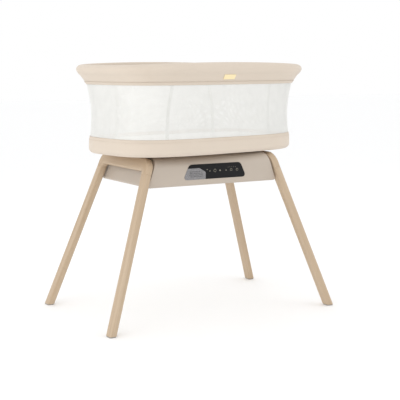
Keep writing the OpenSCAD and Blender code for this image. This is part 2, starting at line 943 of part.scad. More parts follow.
// Fabric sleeve: flares up from the mesh, rolls over the tube and comes back inside
module rim_cover() {
    color(beige_cloth)
        in_basket()
            difference() {
                oval_ring([[mesh_flare - 4, mesh_top], [rim_tube_off - 12.5, rim_tube_z - 12],
                           [rim_tube_off - 13, rim_tube_z + 2], [rim_tube_off - 12, rim_top - 5],
                           [rim_tube_off - 8, rim_top - 1], [rim_tube_off - 3, rim_top],
                           [rim_flare - 6, rim_top - 4.5], [rim_flare - 1.5, rim_top - 10],
                           [rim_flare, rim_top - 17.5], [rim_flare - 2.2, rim_top - 24.5],
                           [rim_flare - 6.7, rim_top - 32], [skirt_off, mesh_top + skirt_z],
                           [mesh_flare, mesh_top]]);
                oval_tube(rim_tube_off, rim_tube_z, rim_tube_r + fit_gap);
            }
}

// Offset of the skirt's face at a height above the mesh
function skirt(h) = mesh_flare + h * skirt_slope;

module rim_hem() {
    color(beige_cloth)
        in_basket()
            oval_ring([[skirt(-1) + 0.7, mesh_top - 1], [skirt(hem_h) + 0.7, mesh_top + hem_h],
                       [skirt(hem_h - 1) + 2.4, mesh_top + hem_h - 1],
                       [skirt(-1) + 3, mesh_top - 1]]);
}

// Small blank plate near the middle of the front of the rim
module label_plate() {
    color(gold)
        in_basket()
            translate([-label_x, -basket_b - mesh_flare - label_up * tan(label_lean) - 0.3,
                       mesh_top + label_up])
                rotate([90 + label_lean, 0, 0])
                    linear_extrude(height = 1.2)
                        rounded_rect(label_size[0], label_size[1], 2);
}

left_frame_top();
right_frame_top();
front_left_leg();
rear_left_leg();
front_right_leg();
rear_right_leg();
leg_dowels();
foot_pads();
frame_inserts();
frame_bolts();
frame_spacers();
chassis();
housing_shell();
housing_base();
housing_screws();
chassis_screws();
control_panel();
speaker_grille();
speaker_driver();
touch_board();
control_board();
board_screws();
power_inlet();
gear_motor();
motor_screws();
bearing_block();
bearing_screws();
spindle_bushes();
glide_pads();
drive_belt();
motor_shaft();
motor_pulley();
spindle();
spindle_clip();
spindle_pulley();
turntable();
turntable_screws();
base_board();
base_tube();
mattress();
lower_band();
mesh_wall();
wall_stays();
rim_tube();
rim_cover();
rim_hem();
label_plate();
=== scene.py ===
import json
from math import cos, pi, radians, sin, tan

import bmesh
import bpy
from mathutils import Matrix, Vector

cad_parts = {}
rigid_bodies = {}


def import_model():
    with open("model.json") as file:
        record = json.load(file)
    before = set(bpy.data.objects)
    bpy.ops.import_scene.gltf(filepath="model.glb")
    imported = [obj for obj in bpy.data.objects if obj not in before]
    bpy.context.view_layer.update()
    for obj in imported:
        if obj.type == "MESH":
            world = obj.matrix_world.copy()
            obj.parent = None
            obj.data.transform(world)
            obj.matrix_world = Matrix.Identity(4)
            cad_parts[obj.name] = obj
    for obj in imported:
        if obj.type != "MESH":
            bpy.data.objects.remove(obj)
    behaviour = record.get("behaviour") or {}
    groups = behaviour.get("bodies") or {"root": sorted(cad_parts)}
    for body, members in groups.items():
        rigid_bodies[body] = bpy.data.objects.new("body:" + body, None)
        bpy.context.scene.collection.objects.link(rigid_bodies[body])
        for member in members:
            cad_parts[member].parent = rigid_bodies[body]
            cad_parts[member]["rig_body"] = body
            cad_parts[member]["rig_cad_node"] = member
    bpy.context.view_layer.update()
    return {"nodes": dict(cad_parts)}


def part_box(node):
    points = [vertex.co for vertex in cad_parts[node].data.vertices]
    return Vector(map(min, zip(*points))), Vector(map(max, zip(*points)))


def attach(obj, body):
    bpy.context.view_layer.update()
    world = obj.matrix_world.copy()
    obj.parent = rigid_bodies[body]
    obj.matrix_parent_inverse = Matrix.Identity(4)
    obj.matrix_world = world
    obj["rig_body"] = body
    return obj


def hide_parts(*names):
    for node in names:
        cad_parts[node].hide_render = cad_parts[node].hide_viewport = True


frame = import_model()
nodes = frame["nodes"]

# ---------- camera, light and floor ----------
camera = {"place": (-1.9576, -3.4125, 0.948), "yaw": -30.5, "pitch": -7.715, "lens": 91.87}
studio = {
    "wall": (1.0, 1.0, 1.0), "wallStrength": 1.0,
    "lamps": [  # place, aim, size, power, tint
        ((-2.6, -2.4, 3.0), (0, 0, 0.7), 2.6, 17, (1.0, 0.985, 0.96)),
        ((-3.0, -0.5, 0.7), (0, 0, 0.55), 1.6, 9, (1.0, 0.98, 0.95)),
        ((3.0, -2.2, 2.2), (0, 0, 0.6), 2.4, 10, (1.0, 0.98, 0.95)),
        ((0.4, 2.8, 2.6), (0, 0, 0.8), 2.2, 10, (1.0, 1.0, 1.0)),
    ],
    "floor": (0.995, 0.998, 1.0),
}


def clearSelection():
    if bpy.context.object and bpy.context.object.mode != "OBJECT":
        bpy.ops.object.mode_set(mode="OBJECT")
    bpy.ops.object.select_all(action="DESELECT")


def takeUp(piece):
    clearSelection()
    piece.select_set(True)
    bpy.context.view_layer.objects.active = piece


def settle(piece, name):  # names a piece and puts its place into its mesh
    piece.name = piece.data.name = name
    takeUp(piece)
    bpy.ops.object.transform_apply(location=True, rotation=True, scale=True)
    return piece


def makeStudio():
    clearSelection()
    bpy.ops.object.camera_add(location=camera["place"])
    eye = bpy.context.object
    eye.rotation_euler = (radians(90 + camera["pitch"]), 0, radians(camera["yaw"]))
    eye.data.lens = camera["lens"]
    eye.data.sensor_width = 36
    eye.data.clip_end = 60
    bpy.context.scene.camera = eye
    for place, aim, size, power, tint in studio["lamps"]:
        bpy.ops.object.light_add(type="AREA", location=place)
        lamp = bpy.context.object
        lamp.data.size = size
        lamp.data.energy = power
        lamp.data.color = tint
        lamp.rotation_euler = (Vector(place) - Vector(aim)).to_track_quat("Z", "Y").to_euler()
    world = bpy.data.worlds.new("studioWall")
    world.use_nodes = True
    backdrop = world.node_tree.nodes["Background"]
    backdrop.inputs["Color"].default_value = (*studio["wall"], 1)
    backdrop.inputs["Strength"].default_value = studio["wallStrength"]
    bpy.context.scene.world = world
    bpy.context.scene.view_settings.view_transform = "Standard"
    print("studio ready")


# ---------- finishes ----------
class Wire:  # one socket's value, for sums written as plain maths
    def __init__(self, finish, socket):
        self.finish = finish
        self.socket = socket

    def sum(self, operation, first, second=None):
        values = {0: first} if second is None else {0: first, 1: second}
        return self.finish.add("Math", {"operation": operation}, values)

    def __add__(self, other):
        return self.sum("ADD", self, other)

    def __radd__(self, other):
        return self.sum("ADD", other, self)

    def __sub__(self, other):
        return self.sum("SUBTRACT", self, other)

    def __rsub__(self, other):
        return self.sum("SUBTRACT", other, self)

    def __mul__(self, other):
        return self.sum("MULTIPLY", self, other)

    def __rmul__(self, other):
        return self.sum("MULTIPLY", other, self)

    def __lt__(self, other):
        return self.sum("LESS_THAN", self, other)

    def rest(self):  # what is left above a whole number
        return self.sum("FRACT", self)

    def wave(self):
        return self.sum("SINE", self)

    def root(self):
        return self.sum("SQRT", self)

    def lower(self, other):
        return self.sum("MINIMUM", self, other)


class Finish:  # a material and the nodes behind its shader
    def __init__(self, name, **constants):
        self.material = bpy.data.materials.new(name)
        self.material.use_nodes = True
        self.tree = self.material.node_tree
        self.shader = self.tree.nodes["Principled BSDF"]
        for key, value in constants.items():
            self.set(key.replace("_", " "), value)

    def add(self, kind, settings=None, values=None, out=0):
        node = self.tree.nodes.new("ShaderNode" + kind)
        for key, value in (settings or {}).items():
            if key == "stops":
                for stop, (place, tint) in zip(node.color_ramp.elements, value):
                    stop.position = place
                    stop.color = (*tint, 1)
            else:
                setattr(node, key, value)
        for key, value in (values or {}).items():
            self.feed(node.inputs[key], value)
        return Wire(self, node.outputs[out])

    def feed(self, socket, value):
        if isinstance(value, Wire):
            self.tree.links.new(value.socket, socket)
        elif isinstance(value, tuple) and len(value) == 3 and socket.type == "RGBA":
            socket.default_value = (*value, 1)
        else:
            socket.default_value = value

    def set(self, name, value):
        self.feed(self.shader.inputs[name], value)

    def place(self, turn=(0, 0, 0), scale=(1, 1, 1), uv=False):
        source = self.add("TexCoord", out="UV" if uv else "Object")
        return self.add("Mapping", {}, {"Vector": source, "Rotation": turn, "Scale": scale})

    def noise(self, at, scale, detail=3.0, rough=0.5):
        return self.add("TexNoise", {},
                        {"Vector": at, "Scale": scale, "Detail": detail, "Roughness": rough})

    def mix(self, share, first, second):
        return self.add("Mix", {"data_type": "RGBA"}, {0: share, 6: first, 7: second}, out=2)

    def axes(self, at):
        parts = self.add("SeparateXYZ", {}, {0: at})
        node = parts.socket.node
        return [Wire(self, node.outputs[i]) for i in range(3)]

    def bump(self, height, distance, strength=1.0):
        bump = self.add("Bump", {}, {"Height": height, "Distance": distance, "Strength": strength})
        self.set("Normal", bump)


def mottled(name, light, dark, grain, bump, rough=0.5, spread=0.08, **constants):
    # a moulded or painted surface: cloudy tone, fine grain and uneven sheen
    finish = Finish(name, **constants)
    at = finish.place()
    cloud = finish.noise(at, 6.0, 2.0)
    fine = finish.noise(at, grain, 4.0, 0.6)
    finish.set("Base Color", finish.mix(cloud * 0.6 + fine * 0.4, light, dark))
    finish.set("Roughness", rough + (fine - 0.5) * spread)
    finish.bump(fine, bump)
    return finish.material


def ash(name, turn=(0, 0, 0), uv=False):
    # pale ash: long soft figure, fine dark pores, all drawn out along Z
    finish = Finish(name, Specular_IOR_Level=0.35)
    at = finish.place(turn, uv=uv)
    if uv:
        across, along, other = finish.axes(at)
        at = finish.add("CombineXYZ", {}, {0: across, 1: 0.31, 2: along})
    stretch = finish.add("VectorMath", {"operation": "MULTIPLY"}, {0: at, 1: (46, 46, 1.7)})
    figure = finish.noise(stretch, 1.0, 3.0, 0.55)
    fineStretch = finish.add("VectorMath", {"operation": "MULTIPLY"}, {0: at, 1: (620, 620, 9)})
    pores = finish.noise(fineStretch, 1.0, 2.0, 0.6)
    streak = finish.add("VectorMath", {"operation": "MULTIPLY"}, {0: at, 1: (150, 150, 2.6)})
    lines = finish.noise(streak, 1.0, 2.0, 0.5)
    tone = finish.add("ValToRGB", {"stops": [(0.34, woods["dark"]), (0.66, woods["light"])]},
                      {0: figure * 0.62 + lines * 0.38})
    porous = (pores - 0.56) * 3.2
    porous = finish.add("Clamp", {}, {0: porous})
    finish.set("Base Color", finish.mix(porous * 0.42, tone, woods["pore"]))
    finish.set("Roughness", 0.52 + porous * 0.16 - (figure - 0.5) * 0.1)
    finish.bump(lines * 0.5 - porous * 0.6, 0.0005, 0.7)
    return finish.material


def cloth(name, light, dark, pitch, depth, sheen=0.25, rough=0.86, slub=0.5, uv=True):
    # plain weave on the sheet's own UV, which runs in metres, or on the piece's own place
    finish = Finish(name, Sheen_Weight=sheen, Sheen_Roughness=0.5, Specular_IOR_Level=0.25, Roughness=rough)
    at = finish.place(uv=uv)
    u, v, other = finish.axes(at)
    warp = (u * (2 * pi / pitch)).wave()
    weft = (v * (2 * pi / pitch)).wave()
    over = warp * weft * 0.5 + 0.5
    thread = finish.add("VectorMath", {"operation": "MULTIPLY"}, {0: at, 1: (60, 900, 1)})
    slubs = finish.noise(thread, 1.0, 2.0, 0.6)
    cross = finish.add("VectorMath", {"operation": "MULTIPLY"}, {0: at, 1: (900, 60, 1)})
    slubs = (slubs + finish.noise(cross, 1.0, 2.0, 0.6)) * 0.5
    cloud = finish.noise(at, 9.0, 3.0)
    share = over * 0.34 + slubs * slub * 0.8 + cloud * 0.3
    finish.set("Base Color", finish.mix(share, light, dark))
    finish.bump(over * 0.6 + slubs * 0.4, depth, 0.8)
    return finish.material


def netting(name):
    # white spacer knit: rows of round holes, every second row set over by half
    finish = Finish(name, Base_Color=(0.83, 0.83, 0.80), Roughness=0.72, Sheen_Weight=0.2)
    pitch = nets["pitch"]
    at = finish.place(uv=True)
    u, v, other = finish.axes(at)

    def holes(shift):
        across = (u * (1 / pitch) + shift).rest() - 0.5
        up = ((v * (1 / pitch / 1.732) + shift).rest() - 0.5) * 1.732
        return (across * across + up * up).root()

    nearest = holes(0.0).lower(holes(0.5))
    finish.set("Alpha", 1.0 - (nearest < nets["hole"]) * nets["clear"])
    finish.bump(nearest, 0.0006, 0.6)
    ribs = finish.noise(at, 30.0, 2.0)
    finish.set("Base Color", finish.mix(ribs, (0.90, 0.90, 0.875), (0.80, 0.80, 0.775)))
    return finish.material


def perforated(name):
    # fine round perforations on a flat grille, seen from the front; the holes are not cut, and their
    # near-black colour is painted shade of the space behind the grille
    finish = Finish(name, Metallic=0.25)
    at = finish.place()
    x, y, z = finish.axes(at)
    pitch = 0.0022

    def holes(shift):
        across = (x * (1 / pitch) + shift).rest() - 0.5
        up = ((z * (1 / pitch / 1.732) + shift).rest() - 0.5) * 1.732
        return (across * across + up * up).root()

    nearest = holes(0.0).lower(holes(0.5))
    hole = nearest < 0.3
    cloud = finish.noise(at, 60.0, 3.0)
    metal = finish.mix(cloud, (0.36, 0.35, 0.36), (0.27, 0.265, 0.27))
    # near-black in the holes: painted shade of the space behind the grille
    finish.set("Base Color", finish.mix(hole, metal, (0.10, 0.10, 0.105)))
    finish.set("Roughness", 0.42 + hole * 0.4)
    finish.bump(nearest, 0.0004, 0.8)
    return finish.material


def brushed(name, light, dark, stretch, rough):
    finish = Finish(name, Metallic=1.0)
    at = finish.place(scale=stretch)
    lines = finish.noise(at, 30.0, 4.0, 0.65)
    finish.set("Base Color", finish.mix(lines, light, dark))
    finish.set("Roughness", rough + (lines - 0.5) * 0.18)
    finish.bump(lines, 0.0002, 0.6)
    return finish.material


woods = {"light": (0.565, 0.446, 0.322), "dark": (0.466, 0.346, 0.230), "pore": (0.33, 0.228, 0.142)}
nets = {"pitch": 0.0030, "hole": 0.27, "clear": 0.95}
beige = {"light": (0.735, 0.645, 0.548), "dark": (0.633, 0.544, 0.452)}


def makeFinishes():
    made = {
        "beige": cloth("beigeCloth", beige["light"], beige["dark"], 0.0011, 0.00035),
        "hem": cloth("hemTape", (0.74, 0.645, 0.545), (0.62, 0.53, 0.44), 0.0009, 0.0004, rough=0.8),
        "cotton": cloth("mattressCotton", (0.86, 0.855, 0.83), (0.77, 0.765, 0.74), 0.0009, 0.0003,
                        uv=False),
        # the sleeves are white cloth; this grey-green tone is painted shade, for where they stand in shadow
        # inside the mesh
        "sleeve": cloth("staySleeve", (0.70, 0.71, 0.65), (0.60, 0.61, 0.55), 0.0009, 0.0003),
        "net": netting("whiteNet"),
        "thread": mottled("sewingThread", (0.66, 0.57, 0.47), (0.55, 0.46, 0.37), 900, 0.0001, 0.7),
        "case": mottled("casePlastic", (0.525, 0.455, 0.385), (0.470, 0.405, 0.340), 700, 0.00012, 0.46,
                        0.14, Specular_IOR_Level=0.45),
        "gloss": mottled("glossBlack", (0.012, 0.012, 0.013), (0.018, 0.018, 0.019), 80, 0.00001, 0.24,
                         0.06, Specular_IOR_Level=0.1),
        "dark": mottled("darkPlastic", (0.030, 0.030, 0.032), (0.045, 0.045, 0.047), 500, 0.0001, 0.45),
        "marks": mottled("panelPrint", (0.30, 0.28, 0.22), (0.24, 0.22, 0.17), 200, 0.00005, 0.5),
        "speaker": perforated("speakerMetal"),
        "felt": mottled("feltPad", (0.42, 0.40, 0.37), (0.28, 0.265, 0.245), 900, 0.0006, 0.95),
        "steel": brushed("platedSteel", (0.62, 0.62, 0.63), (0.42, 0.42, 0.44), (1, 1, 9), 0.34),
        "brass": brushed("turnedBrass", (0.78, 0.60, 0.30), (0.58, 0.42, 0.19), (1, 1, 9), 0.3),
        "bronze": brushed("bushBronze", (0.60, 0.42, 0.24), (0.42, 0.28, 0.15), (1, 1, 9), 0.4),
        "gold": brushed("paleGold", (0.98, 0.86, 0.56), (0.86, 0.71, 0.42), (1, 14, 14), 0.3),
        "alloy": mottled("castAlloy", (0.46, 0.46, 0.47), (0.33, 0.33, 0.34), 350, 0.0004, 0.5, 0.2,
                         Metallic=0.9),
        "rubber": mottled("beltRubber", (0.035, 0.034, 0.033), (0.055, 0.053, 0.05), 600, 0.0002, 0.75),
        "table": mottled("tablePlastic", (0.50, 0.48, 0.45), (0.42, 0.40, 0.375), 500, 0.0002, 0.5),
        "glide": mottled("glidePlastic", (0.78, 0.75, 0.66), (0.68, 0.65, 0.56), 400, 0.0001, 0.35),
        "pcb": mottled("circuitBoard", (0.030, 0.150, 0.070), (0.018, 0.095, 0.045), 260, 0.0001, 0.35),
        "board": mottled("hardboard", (0.46, 0.33, 0.21), (0.34, 0.235, 0.145), 240, 0.0003, 0.8),
        "ashBend": ash("ashBend", uv=True),
    }
    print("finishes ready:", len(made))
    return made


def paint(piece, material):
    piece.data.materials.clear()
    piece.data.materials.append(material)


# ---------- shapes that several pieces use ----------
def smoothLine(points, steps):  # a curve through the points, the same number of steps between each two
    line = []
    for i in range(len(points) - 1):
        a = Vector(points[max(0, i - 1)])
        b, c = Vector(points[i]), Vector(points[i + 1])
        d = Vector(points[min(len(points) - 1, i + 2)])
        for s in range(steps):
            t = s / steps
            line.append(0.5 * (2 * b + (c - a) * t + (2 * a - 5 * b + 4 * c - d) * t ** 2
                               + (3 * b - a - 3 * c + d) * t ** 3))
    return line + [Vector(points[-1])]


def lengthOf(line):
    return sum((Vector(a) - Vector(b)).length for a, b in zip(line, line[1:]))


def layGrid(name, columns, rows, place, width, height):
    # a flat grid whose corners are laid on place(column, row); its UV runs in metres
    clearSelection()
    bpy.ops.mesh.primitive_grid_add(x_subdivisions=columns, y_subdivisions=rows, size=2)
    piece = bpy.context.object
    for corner in piece.data.vertices:
        column = round((corner.co.x + 1) / 2 * columns)
        row = round((corner.co.y + 1) / 2 * rows)
        corner.co = place(column, row)
    for loop in piece.data.uv_layers[0].data:
        loop.uv = (loop.uv.x * width, loop.uv.y * height)
    bpy.ops.object.mode_set(mode="EDIT")
    bpy.ops.mesh.select_all(action="SELECT")
    bpy.ops.mesh.remove_doubles(threshold=0.00001)
    bpy.ops.object.mode_set(mode="OBJECT")
    return settle(piece, name)


def faceOut(piece):
    takeUp(piece)
    bpy.ops.object.mode_set(mode="EDIT")
    bpy.ops.mesh.select_all(action="SELECT")
    bpy.ops.mesh.normals_make_consistent(inside=False)
    bpy.ops.object.mode_set(mode="OBJECT")


def closeEnds(piece):
    takeUp(piece)
    bpy.ops.object.mode_set(mode="EDIT")
    bpy.ops.mesh.select_all(action="SELECT")
    bpy.ops.mesh.fill_holes(sides=0)
    bpy.ops.mesh.select_all(action="SELECT")
    bpy.ops.mesh.normals_make_consistent(inside=False)
    bpy.ops.object.mode_set(mode="OBJECT")


def apply(piece, kind, **settings):
    takeUp(piece)
    modifier = piece.modifiers.new("shape", kind)
    for key, value in settings.items():
        setattr(modifier, key, value)
    bpy.ops.object.modifier_apply(modifier="shape")


def smooth(piece, angle=35):
    takeUp(piece)
    bpy.ops.object.shade_smooth_by_angle(angle=radians(angle))


def closeTube(piece):
    closeEnds(piece)
    smooth(piece, 60)
    return piece


def joinAll(made, name):
    clearSelection()
    for piece in made:
        piece.select_set(True)
    bpy.context.view_layer.objects.active = made[0]
    bpy.ops.object.join()
    return settle(made[0], name)


def finishPiece(piece, material, body, slot, *stoodFor):
    paint(piece, material)
    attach(piece, body)
    if stoodFor:
        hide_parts(*stoodFor)
    return piece


def softCopy(node, name, width, chosen=None, angle=30):
    # a copy of a hard-edged part with its sharp edges eased
    clearSelection()
    piece = nodes[node].copy()
    piece.data = nodes[node].data.copy()
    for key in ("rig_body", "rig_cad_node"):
        del piece[key]
    piece.parent = None
    bpy.context.scene.collection.objects.link(piece)
    takeUp(piece)
    bpy.ops.mesh.customdata_custom_splitnormals_clear()
    bpy.ops.object.mode_set(mode="EDIT")
    bpy.ops.mesh.select_all(action="SELECT")
    bpy.ops.mesh.remove_doubles(threshold=0.00001)
    bpy.ops.mesh.dissolve_limited(angle_limit=radians(0.5))
    bpy.ops.mesh.select_all(action="DESELECT")
    bpy.ops.mesh.select_mode(type="EDGE")
    mesh = bmesh.from_edit_mesh(piece.data)
    for edge in mesh.edges:
        if len(edge.link_faces) == 2 and edge.calc_face_angle() > radians(angle):
            edge.select_set(chosen is None or all(chosen(v.co) for v in edge.verts))
    bmesh.update_edit_mesh(piece.data)
    bpy.ops.mesh.bevel(offset=width, segments=3, affect="EDGES", clamp_overlap=True)
    bpy.ops.object.mode_set(mode="OBJECT")
    piece.name = piece.data.name = name
    smooth(piece, 30)
    return piece


# ---------- wooden frames ----------
woodFrame = {
    "footX": 0.472, "footY": 0.282, "lean": radians(19.4), "splay": radians(9.5),
    "width": 0.038, "thickness": 0.027, "edge": 0.0075,
    "barHeight": 0.049, "shoulder": 0.048, "inner": 0.012, "jointDrop": 0.015,
    "jointEase": 0.0011,
}


def framePoint(side, u, v, w):  # u across, v up the frame, w out of it
    f = woodFrame
    x = f["footX"] + w * cos(f["lean"]) - v * sin(f["lean"])
    return Vector((side * x, u, w * sin(f["lean"]) + v * cos(f["lean"])))


def roundedSection(width, thickness, edge, steps=5):
    corners = [(1, 1, 0), (-1, 1, 90), (-1, -1, 180), (1, -1, 270)]
    points = []
    for sx, sy, start in corners:
        for i in range(steps + 1):
            a = radians(start + 90 * i / steps)
            points.append((sx * (width / 2 - edge) + edge * cos(a),
                           sy * (thickness / 2 - edge) + edge * sin(a)))
    return points


def topStations():
    # pairs of points, inner and outer edge, from one leg joint over the bar to the other
    f = woodFrame
    rise = (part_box("housing_shell")[1].z - 0.004) / cos(f["lean"])
    barV = rise - f["barHeight"]
    jointV = barV - f["jointDrop"]
    splay = f["splay"]

    def innerU(v):
        return f["footY"] - v * tan(splay) - f["width"] / 2 / cos(splay)

    def outerU(v):
        return f["footY"] - v * tan(splay) + f["width"] / 2 / cos(splay)

    start = Vector((innerU(jointV), jointV))
    across = Vector((cos(splay), sin(splay))) * f["width"]
    innerC = Vector((innerU(barV - f["inner"]) - f["inner"] / cos(splay), barV - f["inner"]))
    outerC = Vector((outerU(rise - f["shoulder"]) - f["shoulder"] / cos(splay), rise - f["shoulder"]))
    pairs = [(start, start + across)]
    steps = 14
    for i in range(steps + 1):
        a = splay + (pi / 2 - splay) * i / steps
        turn = Vector((cos(a), sin(a)))
        pairs.append((innerC + turn * f["inner"], outerC + turn * f["shoulder"]))
    flat = 6
    lastIn, lastOut = pairs[-1]
    for i in range(1, flat + 1):
        share = 1 - i / flat
        pairs.append((Vector((lastIn.x * share, barV)), Vector((lastOut.x * share, rise))))
    mirrored = [(Vector((-a.x, a.y)), Vector((-b.x, b.y))) for a, b in reversed(pairs[:-1])]
    return pairs + mirrored


def makeFrameTops(finishes):
    f = woodFrame
    pairs = topStations()
    ease = f["jointEase"]
    for side, name, node in ((-1, "leftBentTop", "left_frame_top"), (1, "rightBentTop", "right_frame_top")):
        middles = [(a + b) / 2 for a, b in pairs]
        along = (middles[1] - middles[0]).normalized() * ease
        rings = [(pairs[0], 2 * ease)] + [((a + along, b + along), 0) for a, b in pairs[:1]]
        rings += [(pair, 0) for pair in pairs[1:-1]]
        back = (middles[-2] - middles[-1]).normalized() * ease
        rings += [((pairs[-1][0] + back, pairs[-1][1] + back), 0), (pairs[-1], 2 * ease)]
        count = len(roundedSection(1, 1, 0.1))

        def place(column, row):
            (inner, outer), shrink = rings[row]
            width = (outer - inner).length
            section = roundedSection(width - shrink, f["thickness"] - shrink, f["edge"])
            p, w = section[column % count]
            spot = (inner + outer) / 2 + (outer - inner).normalized() * p
            return framePoint(side, spot.x, spot.y, w)

        girth = 2 * (f["width"] + f["thickness"])
        piece = layGrid(name, count, len(rings) - 1, place, girth, lengthOf(middles))
        closeEnds(piece)
        smooth(piece, 40)
        finishPiece(piece, finishes["ashBend"], "stand", "ash_wood", node)
    print("bent frame tops made")


def paintLegs():
    f = woodFrame
    for side, x in (("left", -1), ("right", 1)):
        for way, y in (("front", -1), ("rear", 1)):
            low = framePoint(x, y * f["footY"], 0, 0)
            high = framePoint(x, y * (f["footY"] - tan(f["splay"])), 1, 0)
            lean = (high - low).to_track_quat("Z", "Y").inverted().to_euler()
            name = way + side.capitalize() + "Ash"
            paint(nodes[f"{way}_{side}_leg"], ash(name, turn=tuple(lean)))
    print("legs grained")


# ---------- housing, panel and speaker ----------
casing = {"edge": 0.0024, "gap": 0.0054, "panelEdge": 0.0005, "printHeight": 0.00012}
panelMarks = {
    # across from the panel's middle and up from its lower edge, radius, kind
    "row": [(-0.035, 0.0345, 0.0022, "bar"), (-0.023, 0.029, 0.0020, "dot"),
            (-0.001, 0.0295, 0.0052, "power"), (0.021, 0.0290, 0.0030, "dot"),
            (0.0475, 0.0285, 0.0034, "play"), (0.070, 0.0290, 0.0042, "ring"),
            (0.096, 0.0285, 0.0042, "ring")],
    "lights": [(0.056 + 0.008 * i, 0.0395, 0.0010, "dot") for i in range(5)],
}


def makeCasing(finishes):
    f = woodFrame
    inset = (f["thickness"] / 2 + casing["gap"]) / cos(f["lean"])

    def endPlane(co):  # on the outline of a leaning end
        return abs(abs(co.x) - (f["footX"] - co.z * tan(f["lean"]) - inset)) < 0.0004

    shell = softCopy("housing_shell", "caseShell", casing["edge"], endPlane)
    finishPiece(shell, finishes["case"], "stand", "case_plastic", "housing_shell")
    paint(nodes["housing_base"], finishes["case"])
    panelLow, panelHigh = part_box("control_panel")

    def face(co):
        return co.y < panelLow.y + 0.0001

    lens = softCopy("control_panel", "panelLens", casing["panelEdge"], face)
    finishPiece(lens, finishes["gloss"], "stand", "gloss_black", "control_panel")
    paint(nodes["speaker_grille"], finishes["speaker"])
    makePrint(finishes, panelLow)
    print("housing made")


def makePrint(finishes, panelLow):
    # small generic signs, printed on the lens
    mid = (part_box("speaker_grille")[0].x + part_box("control_panel")[1].x) / 2
    made = []
    for x, z, r, kind in panelMarks["row"] + panelMarks["lights"]:
        spot = (mid + x, panelLow.y, panelLow.z + z)
        clearSelection()
        if kind in ("ring", "power"):
            bpy.ops.mesh.primitive_torus_add(major_radius=r, minor_radius=0.0005, major_segments=28,
                                             minor_segments=6, location=spot, rotation=(pi / 2, 0, 0))
        else:
            sides = {"dot": 20, "play": 3, "bar": 4}[kind]
            bpy.ops.mesh.primitive_cylinder_add(vertices=sides, radius=r, depth=0.0006, location=spot,
                                                rotation=(pi / 2, pi / 4 if kind == "bar" else pi / 2, 0))
        mark = bpy.context.object
        made.append(settle(mark, "mark"))
        if kind == "power":
            clearSelection()
            bpy.ops.mesh.primitive_cylinder_add(vertices=8, radius=0.0006, depth=r,
                                                location=(spot[0], spot[1], spot[2] + r * 0.75))
            made.append(settle(bpy.context.object, "mark"))
    clearSelection()
    for mark in made:
        mark.select_set(True)
        for corner in mark.data.vertices:  # pressed almost flat on the lens
            corner.co.y = panelLow.y + (corner.co.y - panelLow.y) * casing["printHeight"] / 0.0005
    bpy.context.view_layer.objects.active = made[0]
    bpy.ops.object.join()
    piece = settle(made[0], "panelPrint")
    smooth(piece)
    finishPiece(piece, finishes["marks"], "stand", "gloss_black")


# ---------- basket ----------
basket = {
    "halfLength": 0.400, "halfWidth": 0.229, "shift": 0.018, "turn": radians(8.6),
    "squareLow": 3.4, "squareHigh": 3.9, "crown": 0.0115, "flare": 0.035,
    "columns": 288, "seamAt": 90,  # the rings are joined at the back
}
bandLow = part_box("lower_band")[0].z
meshLow, meshTop = (corner.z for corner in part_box("mesh_wall"))
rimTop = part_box("rim_cover")[1].z - basket["crown"]
rimHeight = rimTop - meshTop


def shareAt(z):  # share of the mesh wall's height
    return min(1, max(0, (z - meshLow) / (meshTop - meshLow)))


def ovalPoint(off, z, angle):
    b = basket
    n = b["squareLow"] + (b["squareHigh"] - b["squareLow"]) * shareAt(z)
    c, s = cos(angle), sin(angle)
    k = (abs(c) ** n + abs(s) ** n) ** (-1 / n)
    x, y = (b["halfLength"] + off) * k * c, (b["halfWidth"] + off) * k * s
    up = max(0, (z - meshTop) / rimHeight) * (1 - (x / (b["halfLength"] + b["flare"])) ** 2)
    return Vector((x, y, z + b["crown"] * up))


def inRow(p):  # from the basket's own place to the row's
    b = basket
    x = p.x + b["shift"]
    return Vector((x * cos(b["turn"]) - p.y * sin(b["turn"]),
                   x * sin(b["turn"]) + p.y * cos(b["turn"]), p.z))


def evenAngles(count):  # angles whose points on the oval are evenly spaced
    fine = 2880
    start = radians(basket["seamAt"])
    angles = [start + 2 * pi * i / fine for i in range(fine + 1)]
    points = [ovalPoint(0.01, meshTop, a) for a in angles]
    run = [0.0]
    for a, b in zip(points, points[1:]):
        run.append(run[-1] + (b - a).length)
    result, k = [], 0
    for i in range(count + 1):
        goal = run[-1] * i / count
        while k < fine - 1 and run[k + 1] < goal:
            k += 1
        share = (goal - run[k]) / (run[k + 1] - run[k])
        result.append(angles[k] + (angles[k + 1] - angles[k]) * min(1, share))
    return result, run[-1]


ringAngles, ringLength = evenAngles(basket["columns"])


def ripple(column, z, size):  # soft unevenness that closes round the ring
    a = 2 * pi * column / basket["columns"]
    wave = sin(7 * a + 31 * z) + 0.7 * sin(19 * a - 47 * z + 1.3) + 0.45 * sin(37 * a + 23 * z + 0.6)
    return size * wave / 2.15


def ringSheet(name, profile, uneven=0.0):
    # profile holds (offset, height) points; the outside lies on its right hand when it runs up
    def place(column, row):
        off, z = profile[row]
        off += ripple(column, z, uneven)
        return inRow(ovalPoint(off, z, ringAngles[column]))

    return layGrid(name, basket["columns"], len(profile) - 1, place, ringLength, lengthOf(profile))


def wallOff(share):
    w = wall
    return w["flare"] * share ** 2 - w["waist"] * sin(pi * share ** 0.95)


band = {"bulge": 0.004, "cloth": 0.0022, "under": 0.030, "uneven": 0.0005}
rim = {"skirtUp": 0.030, "skirtOff": 0.022, "cloth": 0.0012, "uneven": 0.0003}
wall = {"flare": 0.002, "waist": 0.0083, "cloth": 0.0006, "uneven": 0.0005, "rows": 30}


